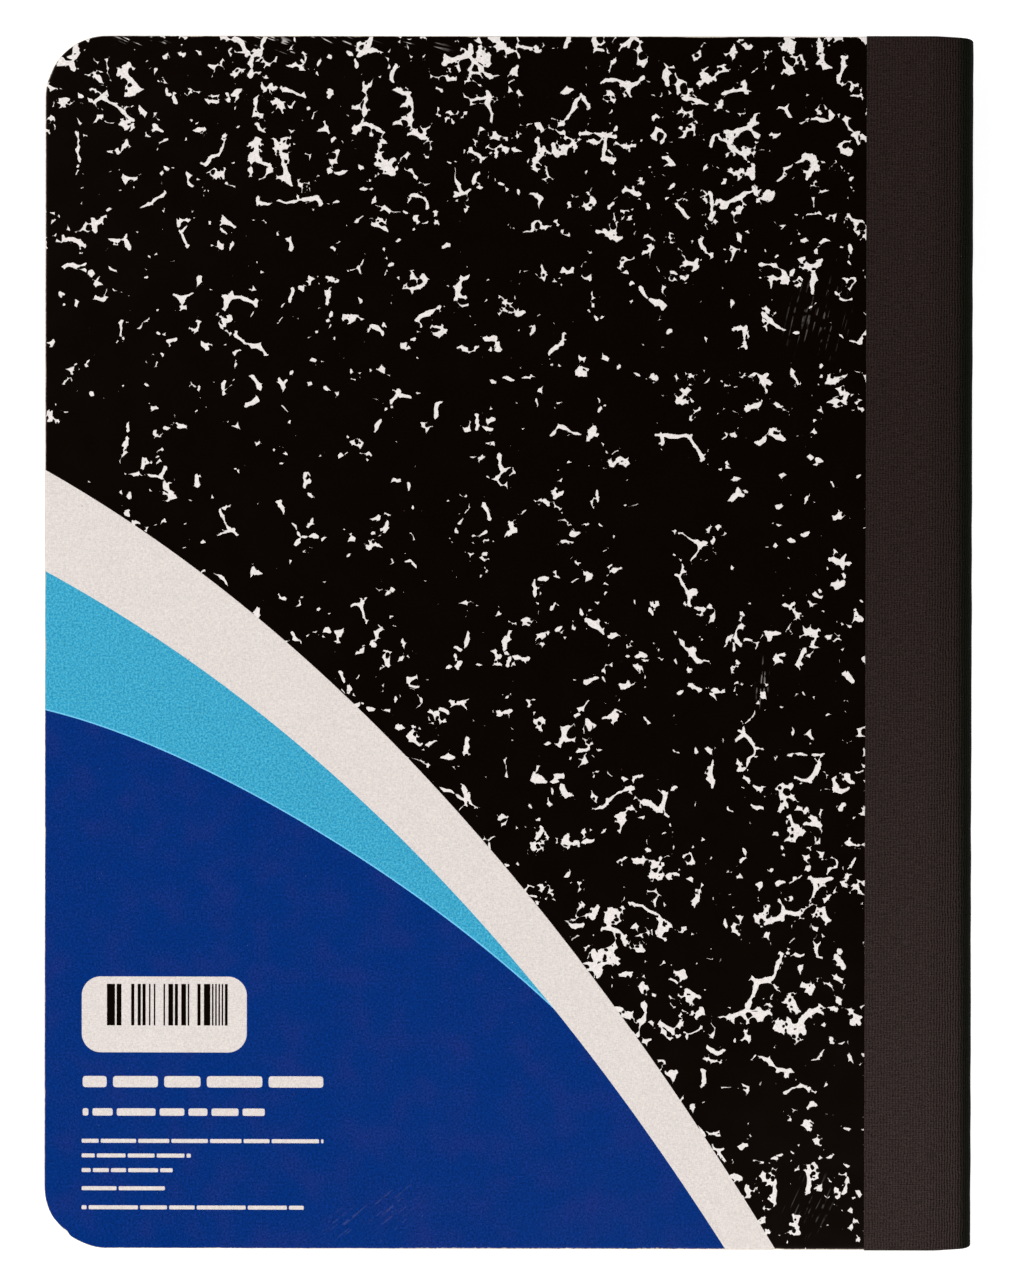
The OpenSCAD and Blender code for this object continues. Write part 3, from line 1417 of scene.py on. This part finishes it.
@dataclass
class SpineTape:
    """One half of the cloth tape: from its edge on a cover round to the middle of the spine."""

    sizes: BookSizes
    side: Side
    finish: bpy.types.Material
    wing_node: str
    body: str
    rows: int = 300
    end_rows: int = 8
    arc_steps: int = 44
    bend_steps: int = 10
    wide_steps: int = 6
    near_steps: int = 8
    slope_steps: int = 9
    near_reach: float = 3.2 * MM
    bend_reach: float = 0.7 * MM
    edge_round: float = 0.05 * MM
    edge_slant: float = 0.01 * MM
    edge_points: int = 4
    frayed: float = 0.05 * MM
    frayed_size: float = 2.2 * MM
    frayed_seed: float = 5.0
    wave: float = 0.13 * MM
    wave_turn: float = 1.7
    wave_share: float = 0.125
    wave_periods: tuple[float, ...] = (10.3 * MM, 12.6 * MM, 27.0 * MM, 83.0 * MM)
    turn_reach: float = 1.7 * MM
    sharp_angle: float = 50.0

    def profile(self) -> list[EdgePoint]:
        """Follows the outside of the tape in end view, from its glued edge to mid-spine.

        Returns:
            Each point's X and rise from the middle, and the way out there.
        """
        s = self.sizes
        rise = s.height / 2
        radius = s.fold_r + s.tape_t
        touch = s.touch_angle(rise, radius)
        touch_at = (s.fold_x + radius * math.cos(touch), radius * math.sin(touch))
        hinge = (s.hinge_x, rise)
        leave = between(hinge, touch_at, self.bend_reach / math.dist(hinge, touch_at))
        flat_end = (s.hinge_x - self.bend_reach, rise)
        near = (flat_end[0] - self.near_reach, rise)
        edge = (s.tape_x + 2 * self.edge_round, rise)
        path: list[Pair] = [
            (s.tape_x, rise - s.tape_t * 0.5),
            (s.tape_x + self.edge_slant, rise - self.edge_round),
            (s.tape_x + self.edge_round, rise - self.edge_slant),
            edge,
        ]
        wide = near[0] + 2 * self.edge_round, rise
        path += [between(edge, wide, i / self.wide_steps) for i in range(1, self.wide_steps + 1)]
        path += [between(near, flat_end, i / self.near_steps) for i in range(1, self.near_steps)]
        for i in range(self.bend_steps + 1):
            t = i / self.bend_steps
            path.append(between(between(flat_end, hinge, t), between(hinge, leave, t), t))
        path += [between(leave, touch_at, i / self.slope_steps) for i in range(1, self.slope_steps)]
        for i in range(self.arc_steps + 1):
            angle = touch * (1 - i / self.arc_steps)
            path.append((s.fold_x + radius * math.cos(angle), radius * math.sin(angle)))
        return [(*point, *self.way_out(path, i)) for i, point in enumerate(path)]

    def way_out(self, path: Sequence[Pair], i: int) -> Pair:
        """Gives the unit vector out of the tape at one point of its path.

        Args:
            path: Points of the outside.
            i: Number of the point.

        Returns:
            X and rise of the vector.
        """
        if i == len(path) - 1:
            return 1.0, 0.0
        before, after = path[max(0, i - 1)], path[i + 1]
        length = math.dist(before, after)
        return (before[1] - after[1]) / length, (after[0] - before[0]) / length

    def stations(self) -> list[float]:
        """Places the tape's rows along the spine, close together at its ends.

        Returns:
            The places along Y.
        """
        s = self.sizes
        straight = s.half_h - s.spine_corner
        middle = [straight * (2 * row / self.rows - 1) for row in range(self.rows + 1)]
        turns = [math.radians(90 * (i + 1) / self.end_rows) for i in range(self.end_rows)]
        end = [straight + s.spine_corner * math.sin(turn) for turn in turns]
        return [-y for y in reversed(end)] + middle + end

    def swell(self, x: float, y: float) -> float:
        """Gives how far the uneven spine stands back from its full width.

        Args:
            x: Place across the book.
            y: Place along the spine.

        Returns:
            A distance along the way in.
        """
        turns = (2 * math.pi * y / period + self.wave_turn * i for i, period in enumerate(self.wave_periods))
        waves = sum(math.sin(turn) for turn in turns)
        bow = 1 - (y / self.sizes.half_h) ** 2
        return self.sizes.spine_share(x) ** 2 * self.wave * (0.5 + self.wave_share * waves + 0.5 * bow)

    def points(self, profile: Sequence[EdgePoint], stations: Sequence[float]) -> list[Triple]:
        """Places the rows of points: at each station the outside, then the glued side.

        Args:
            profile: The outside in end view.
            stations: Places of the rows along the spine.

        Returns:
            The places.
        """
        s = self.sizes
        up = self.side.value
        points: list[Triple] = []
        for y in stations:
            spot = Vector((y / self.frayed_size, 0.0, self.frayed_seed * up))
            ragged = self.frayed * noise.noise(spot)
            for depth in (0.0, s.tape_t):
                for i, (x, rise, out_x, out_rise) in enumerate(profile):
                    at_edge = i < self.edge_points
                    back = self.swell(x, y) + (0.0 if at_edge else depth)
                    at_x = x - out_x * back - s.spine_pull(x, y)
                    at_x += ragged if i < self.edge_points - 1 else 0.0
                    glued = depth and at_edge
                    at_rise = s.height / 2 - s.tape_t if glued else rise - out_rise * back
                    points.append((at_x, y, s.mid_z + up * at_rise))
        return points

    def faces(self, count: int, rows: int) -> list[list[int]]:
        """Joins the points into a closed strip.

        Args:
            count: Points of the end view.
            rows: Number of stations.

        Returns:
            Vertex numbers of each face, counter-clockwise from outside.
        """
        stride = 2 * count
        last = (rows - 1) * stride
        faces: list[list[int]] = []
        for base in range(0, last, stride):
            for i in range(count - 1):
                outer = [base + i, base + i + 1, base + stride + i + 1, base + stride + i]
                faces += [outer, [index + count for index in outer[::-1]]]
            for near, way in ((base, 1), (base + count - 1, -1)):
                far = near + stride
                faces.append([near, far, far + count, near + count][::way])
        for base, way in ((0, -1), (last, 1)):
            for near in range(base, base + count - 1):
                faces.append([near, near + 1, near + count + 1, near + count][::way])
        return [face[::-1] for face in faces] if self.side is Side.FRONT else faces

    def build(self) -> bpy.types.Object:
        """Builds and dresses this half of the tape.

        Returns:
            The tape, as a plain piece that is not joined to a body.
        """
        s = self.sizes
        profile = self.profile()
        stations = self.stations()
        points = self.points(profile, stations)
        faces = self.faces(len(profile), len(stations))
        piece = new_piece(f"{self.side.name.lower()}_tape", points, faces, [self.finish])
        piece.data.set_sharp_from_angle(angle=math.radians(self.sharp_angle))
        reach = [0.0]
        for before, after in zip(profile, profile[1:]):
            reach.append(reach[-1] + math.dist(before[:2], after[:2]))
        cloth = piece.data.uv_layers.new(name="cloth")
        for loop in piece.data.loops:
            i = loop.vertex_index
            cloth.data[loop.index].uv = (reach[i % len(profile)], points[i][1])
        level = s.mid_z + self.side.value * s.height / 2
        start = (s.hinge_x + self.turn_reach, 0.0, level)
        end = (s.hinge_x - self.turn_reach, 0.0, level)
        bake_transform(piece)
        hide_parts(self.wing_node, "spine_tape")
        return piece


class GeometryTree:
    """A geometry node tree with named inputs, applied once to make a plain mesh."""

    def __init__(self, name: str, inputs: dict[str, float | int]) -> None:
        """Starts the tree.

        Args:
            name: Name of the tree.
            inputs: Names and values of its inputs.
        """
        self.tree = bpy.data.node_groups.new(name, "GeometryNodeTree")
        self.values: dict[str, float | int] = {}
        self.graph = Graph(self.tree)
        self.tree.interface.new_socket(name="Geometry", in_out="OUTPUT", socket_type="NodeSocketGeometry")
        for title, value in inputs.items():
            kind = "NodeSocketInt" if isinstance(value, int) else "NodeSocketFloat"
            socket = self.tree.interface.new_socket(name=title, in_out="INPUT", socket_type=kind)
            self.values[socket.identifier] = value
        sockets = self.graph.node("NodeGroupInput").outputs
        self.given = SimpleNamespace(**{title: Wire(self.graph, sockets[title]) for title in inputs})

    def apply(self, name: str, geometry: Wire, material: bpy.types.Material) -> bpy.types.Object:
        """Ends the tree and runs it.

        Args:
            name: Name of the piece.
            geometry: What the tree has made.
            material: Material of all of it.

        Returns:
            A piece with the tree's result as a plain mesh and no modifier.
        """
        real = self.graph.get("GeometryNodeRealizeInstances", {0: geometry})
        dressed = self.graph.get("GeometryNodeSetMaterial", {"Geometry": real, "Material": material})
        self.graph.node("NodeGroupOutput", {0: dressed})
        piece = bpy.data.objects.new(name, bpy.data.meshes.new(name))
        bpy.context.scene.collection.objects.link(piece)
        modifier = piece.modifiers.new(name, "NODES")
        modifier.node_group = self.tree
        for identifier, value in self.values.items():
            modifier[identifier] = value
        depsgraph = bpy.context.evaluated_depsgraph_get()
        mesh = bpy.data.meshes.new_from_object(piece.evaluated_get(depsgraph), depsgraph=depsgraph)
        piece.modifiers.remove(modifier)
        piece.data = mesh
        mesh.name = name
        return piece


@dataclass
class LeafStack:
    """The folded sheets of the block, one inside the other, each cut to the book's plan."""

    sizes: BookSizes
    finish: bpy.types.Material
    sheets: int = 50
    fill: float = 0.74
    fold_squeeze: float = 0.3 * MM
    ragged: float = 0.14 * MM
    sway: float = 0.16 * MM
    inside_plan: float = 0.02 * MM
    trim_share: float = 0.6
    slow_rates: Pair = (8.0, 9.0)
    wave_rates: Triple = (11.0, 13.0, 4.5)
    half_shift: float = 30.0
    loosest: float = 8.0
    seed: int = 7
    half_steps: int = 8
    half_rows: int = 11
    straight_rows: float = 2.0

    def section(self, graph: Graph, depth: Wire, place: Wire, end_x: Wire) -> tuple[Wire, Wire]:
        """Bends a flat strip round the fold.

        Args:
            graph: The tree's graph.
            depth: Share of the block that the sheet wraps, 1 outside and 0 at the centre.
            place: Place along the strip, from -0.5 to 0.5.
            end_x: Where the strip ends at the fore-edge.

        Returns:
            X of the point, and its rise from the middle of the book.
        """
        s = self.sizes
        gap = s.hinge_x - s.fold_x
        arc_steps = float(self.half_steps - 2)
        index = graph.math("ROUND", place * float(2 * self.half_steps))
        along = abs(index)
        rise = depth * ((s.block_hi - s.block_lo) / 2)
        radius = depth * (s.fold_r - self.fold_squeeze)
        lean = graph.math("ARCCOSINE", radius / graph.math("SQRT", rise * rise + gap * gap))
        touch = graph.math("ARCTAN2", rise, gap) - lean
        angle = touch * (graph.least(along, arc_steps) / arc_steps)
        past_arc = graph.math("GREATER_THAN", along, arc_steps + 0.5)
        at_end = graph.math("GREATER_THAN", along, arc_steps + 1.5)
        arc_x = radius * graph.math("COSINE", angle) + s.fold_x
        x = graph.mix_number(past_arc, arc_x, graph.mix_number(at_end, s.hinge_x, end_x))
        lift = graph.mix_number(past_arc, radius * graph.math("SINE", angle), rise)
        return x, lift * graph.math("SIGN", -index)

    def build(self) -> bpy.types.Object:
        """Builds and dresses the leaves.

        Returns:
            The stack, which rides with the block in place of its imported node.
        """
        s = self.sizes
        names = ("sheets", "fill", "ragged", "sway", "seed")
        tree = GeometryTree("folded_leaves", {name: getattr(self, name) for name in names})
        graph, given = tree.graph, tree.given
        rows = 2 * self.half_rows
        counts = {"Vertices X": 2 * self.half_steps + 1, "Vertices Y": rows + 1, "Vertices Z": 2}
        sheet = graph.get("GeometryNodeMeshCube", {"Size": (1.0, 1.0, 1.0), **counts})
        seats = graph.get("GeometryNodePoints", {"Count": given.sheets})
        placed = graph.get("GeometryNodeInstanceOnPoints", {"Points": seats, "Instance": sheet})
        inputs = {"Geometry": placed, "Name": "sheet", "Value": graph.get("GeometryNodeInputIndex")}
        store = "GeometryNodeStoreNamedAttribute"
        marked = graph.get(store, inputs, data_type="FLOAT", domain="INSTANCE")
        single = graph.get("GeometryNodeRealizeInstances", {0: marked})
        which = graph.get("GeometryNodeInputNamedAttribute", {"Name": "sheet"}, data_type="FLOAT")
        u, v, w = graph.split(graph.get("GeometryNodeInputPosition"))
        depth = 1.0 - (which - w * given.fill + 0.5) / given.sheets

        upper = graph.math("LESS_THAN", u, 0.0)
        leaf = which * 2.0 + upper
        draws = []
        for shift in (0.0, 1.0):
            inputs = {"ID": leaf, "Seed": given.seed + shift}
            draws.append(graph.get("FunctionNodeRandomValue", inputs, 1, data_type="FLOAT"))
        slow = graph.grain(graph.joined(depth * self.slow_rates[0], upper * self.slow_rates[1]), 1.0)
        setback = (draws[0] * 0.5 + slow) * given.ragged

        row = graph.math("ROUND", v * float(rows))
        beat = abs(row)
        turn = graph.math("MAXIMUM", beat - self.straight_rows, 0.0) / (self.half_rows - self.straight_rows)
        angle = turn * (math.pi / 2)
        straight = graph.least(beat, self.straight_rows) * ((s.half_h - s.corner_r) / self.straight_rows)
        trim = draws[1] * given.ragged * turn * self.trim_share + self.inside_plan
        y = (graph.math("SINE", angle) * s.corner_r + straight - trim) * graph.math("SIGN", row)
        round_in = 1.0 - graph.math("COSINE", angle)
        end_x = round_in * s.corner_r + (setback + (s.fore_x + self.inside_plan))

        x, rise = self.section(graph, depth, u, end_x)
        rate_x, rate_y, rate_z = self.wave_rates
        wave_place = graph.joined(x * rate_x, y * rate_y, depth * rate_z + upper * self.half_shift)
        wave = graph.grain(wave_place, 1.0, detail=1.0) - 0.5
        loose = graph.step(x, s.hinge_x, s.fore_x) * ((1.0 - depth) * depth)
        z = rise + wave * given.sway * (loose * self.loosest) + s.mid_z
        place = graph.joined(x - s.spine_pull_field(graph, x, y), y, z)
        shaped = graph.get("GeometryNodeSetPosition", {"Geometry": single, "Position": place})
        piece = tree.apply("page_leaves", shaped, self.finish)
        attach(piece, "text_block")
        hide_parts("page_block")
        return piece


@dataclass
class Stitching:
    """The lock stitch: a run of thread outside the fold, one inside, and strands between."""

    sizes: BookSizes
    finish: bpy.types.Material
    thread_r: float = 0.25 * MM
    strand_r: float = 0.35 * MM
    pitch: float = 7.0 * MM
    end_gap: float = 0.3 * MM
    sides: int = 8
    run_steps: int = 140

    def tube(self, graph: Graph, start: Triple, end: Triple, radius: float, steps: int) -> Wire:
        """Adds a straight round tube.

        Args:
            graph: The tree's graph.
            start: One end.
            end: The other end.
            radius: Radius of the tube.
            steps: Points along it.

        Returns:
            The tube's mesh, closed at both ends.
        """
        line = graph.get("GeometryNodeCurvePrimitiveLine", {"Start": start, "End": end})
        path = graph.get("GeometryNodeResampleCurve", {"Curve": line, "Count": steps})
        circle = graph.get("GeometryNodeCurvePrimitiveCircle", {"Resolution": self.sides, "Radius": radius})
        inputs = {"Curve": path, "Profile Curve": circle, "Fill Caps": True}
        return graph.get("GeometryNodeCurveToMesh", inputs)

    def build(self) -> bpy.types.Object:
        """Builds and dresses the thread.

        Returns:
            The thread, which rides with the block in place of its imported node.
        """
        s = self.sizes
        low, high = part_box("sewing_thread")
        outer_x = high.x - self.thread_r
        inner_x = low.x + self.strand_r
        end_y = s.half_h - self.end_gap
        stitches = int(2 * s.half_h / self.pitch)
        tree = GeometryTree("lock_stitch", {"stitches": stitches, "pitch": self.pitch})
        graph, given = tree.graph, tree.given
        parts = [
            self.tube(graph, (x, -end_y, s.mid_z), (x, end_y, s.mid_z), self.thread_r, self.run_steps)
            for x in (outer_x, inner_x)
        ]
        strand = self.tube(graph, (inner_x, 0.0, 0.0), (outer_x, 0.0, 0.0), self.strand_r, 2)
        first = graph.joined(0.0, (given.stitches - 1.0) * given.pitch * -0.5, s.mid_z)
        row = {"Count": given.stitches, "Start Location": first, "Offset": graph.joined(0.0, given.pitch)}
        seats = graph.get("GeometryNodeMeshLine", row, mode="OFFSET", count_mode="TOTAL")
        strands = graph.get("GeometryNodeInstanceOnPoints", {"Points": seats, "Instance": strand})
        together = graph.node("GeometryNodeJoinGeometry")
        for part in (*parts, graph.get("GeometryNodeRealizeInstances", {0: strands})):
            graph.feed(together.inputs[0], part)
        x, y, _ = graph.split(graph.get("GeometryNodeInputPosition"))
        pull = graph.joined(-s.spine_pull_field(graph, x, y))
        joined = {"Geometry": Wire(graph, together.outputs[0]), "Offset": pull}
        piece = tree.apply("stitching", graph.get("GeometryNodeSetPosition", joined), self.finish)
        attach(piece, "text_block")
        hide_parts("sewing_thread")
        return piece


@dataclass(frozen=True)
class StudioLamp:
    """A soft square lamp: where it stands, and its share of the light on the cover."""

    name: str
    azimuth: float
    elevation: float
    distance: float
    size: float
    share: float

    def build(self, aim: Vector) -> bpy.types.Object:
        """Adds the lamp.

        Args:
            aim: What it points at.

        Returns:
            The lamp.
        """
        azimuth, elevation = math.radians(self.azimuth), math.radians(self.elevation)
        level = math.cos(elevation)
        away = Vector((math.cos(azimuth) * level, math.sin(azimuth) * level, math.sin(elevation)))
        light = bpy.data.lights.new(self.name, "AREA")
        light.shape = "SQUARE"
        light.size = self.size
        light.energy = self.share * math.pi**2 * self.distance**2 / math.sin(elevation)
        lamp = bpy.data.objects.new(self.name, light)
        lamp.location = aim + away * self.distance
        lamp.rotation_euler = away.to_track_quat("Z", "Y").to_euler()
        bpy.context.scene.collection.objects.link(lamp)
        return lamp


@dataclass
class Studio:
    """A plain pale floor, soft side lamps, pale walls and a dark ceiling.

    The floor lies one cover below the book, which leaves room to open the lower cover flat.
    """

    floor_half: float = 14.0
    floor_drop: float = 1.2 * MM
    floor_white: float = 0.6
    floor_glow: float = 0.7
    glow_start: float = 0.5
    glow_end: float = 2.5
    wall_level: float = 1.05
    ceiling_level: float = 0.012
    wall_top: float = 10.0
    ceiling_start: float = 38.0
    lamps: tuple[StudioLamp, ...] = (
        StudioLamp("key_lamp", -67.5, 44.0, 1.5, 0.7, 0.45),
        StudioLamp("fill_lamp", 157.5, 42.0, 1.5, 0.7, 0.425),
    )

    def floor(self) -> bpy.types.Object:
        """Builds the floor, which shows white, keeps the book's shadow and is clear from below.

        Returns:
            The floor.
        """
        material, graph, shader = start_material("studio_floor")
        rays = graph.node("ShaderNodeLightPath").outputs
        kinds = [Wire(graph, rays[f"Is {kind} Ray"]) for kind in ("Camera", "Glossy", "Transmission")]
        seen = graph.math("ADD", kinds[0] + kinds[1], kinds[2], clamp=True)
        away = graph.vector("LENGTH", graph.object_place())
        far = graph.step(away, self.glow_start / MM, self.glow_end / MM)
        values = {
            "Base Color": (*[self.floor_white] * 3, 1.0),
            "Roughness": 1.0,
            "Specular IOR Level": 0.0,
            "Emission Color": (1.0, 1.0, 1.0, 1.0),
            "Emission Strength": seen * graph.between(far, self.floor_glow, 1.0),
        }
        for name, value in values.items():
            graph.feed(shader.inputs[name], value)
        below = graph.get("ShaderNodeNewGeometry", output="Backfacing")
        clear = graph.get("ShaderNodeBsdfTransparent")
        shown = {0: below, 1: Wire(graph, shader.outputs[0]), 2: clear}
        surface = graph.get("ShaderNodeMixShader", shown)
        graph.feed(graph.tree.nodes["Material Output"].inputs["Surface"], surface)
        half, low = self.floor_half, -self.floor_drop
        corners = [(-half, -half, low), (half, -half, low), (half, half, low), (-half, half, low)]
        return new_piece("studio_floor", corners, [[0, 1, 2, 3]], [material])

    def world(self) -> None:
        """Builds pale walls that grade into a dark ceiling."""
        world = bpy.data.worlds.new("studio")
        world.use_nodes = True
        world.node_tree.nodes.clear()
        graph = Graph(world.node_tree)
        height = graph.split(graph.get("ShaderNodeTexCoord", output="Generated"))[2]
        top, start = (math.sin(math.radians(angle)) for angle in (self.wall_top, self.ceiling_start))
        level = graph.mix_number(graph.step(height, top, start), self.wall_level, self.ceiling_level)
        light = graph.get("ShaderNodeBackground", {"Color": (1.0, 1.0, 1.0, 1.0), "Strength": level})
        graph.node("ShaderNodeOutputWorld", {"Surface": light})
        bpy.context.scene.world = world

    def build(self, aim: Vector) -> None:
        """Builds the floor, the walls and the lamps.

        Args:
            aim: What the lamps point at.
        """
        self.floor()
        self.world()
        for lamp in self.lamps:
            lamp.build(aim)
            LOG.info("lamp %s", lamp.name)


@dataclass(frozen=True)
class BookCamera:
    """The camera that looks straight down on the back cover. Its tilt is in degrees."""

    lens: float = 85.0
    place: Triple = (1.15 * MM, 4.0 * MM, 626.5 * MM)
    tilt: Triple = (-0.31, 0.135, 0.11)
    reach: Pair = (0.01, 60.0)

    def build(self) -> bpy.types.Object:
        """Adds the camera and makes it the scene's own.

        Returns:
            The camera.
        """
        data = bpy.data.cameras.new("camera")
        data.lens = self.lens
        data.clip_start, data.clip_end = self.reach
        camera = bpy.data.objects.new("camera", data)
        camera.location = self.place
        camera.rotation_euler = [math.radians(angle) for angle in self.tilt]
        bpy.context.scene.collection.objects.link(camera)
        bpy.context.scene.camera = camera
        return camera


def report(pieces: Iterable[bpy.types.Object]) -> None:
    """Logs the name and the face count of each piece."""
    for piece in pieces:
        LOG.info("piece %s: %d faces", piece.name, len(piece.data.polygons))


def main() -> None:
    """Builds the whole scene."""
    logging.basicConfig(level=logging.INFO, format="%(name)s: %(message)s")
    bpy.context.scene.view_settings.view_transform = "Standard"
    BookCamera().build()
    sizes = BookSizes.from_frame()
    cloth = SpineCloth().material()
    back, front = BackPrint("back_print", 405.0), PrintedCover("front_print", 113.0)
    makers = [
        LeafStack(sizes, RuledPaper(sizes).material()),
        Stitching(sizes, SewingCotton().material()),
        CoverBoard(sizes, Side.BACK, back, "back_cover", "back_board", Slot.BACK_BOARD),
        CoverBoard(sizes, Side.FRONT, front, "front_cover", "front_board", Slot.FRONT_BOARD),
        SpineTape(sizes, Side.BACK, cloth, "back_tape_wing", "back_board"),
        SpineTape(sizes, Side.FRONT, cloth, "front_tape_wing", "front_board"),
    ]
    report([maker.build() for maker in makers])
    Studio().build(Vector((0.0, 0.0, sizes.height)))


if __name__ == "__main__":
    main()
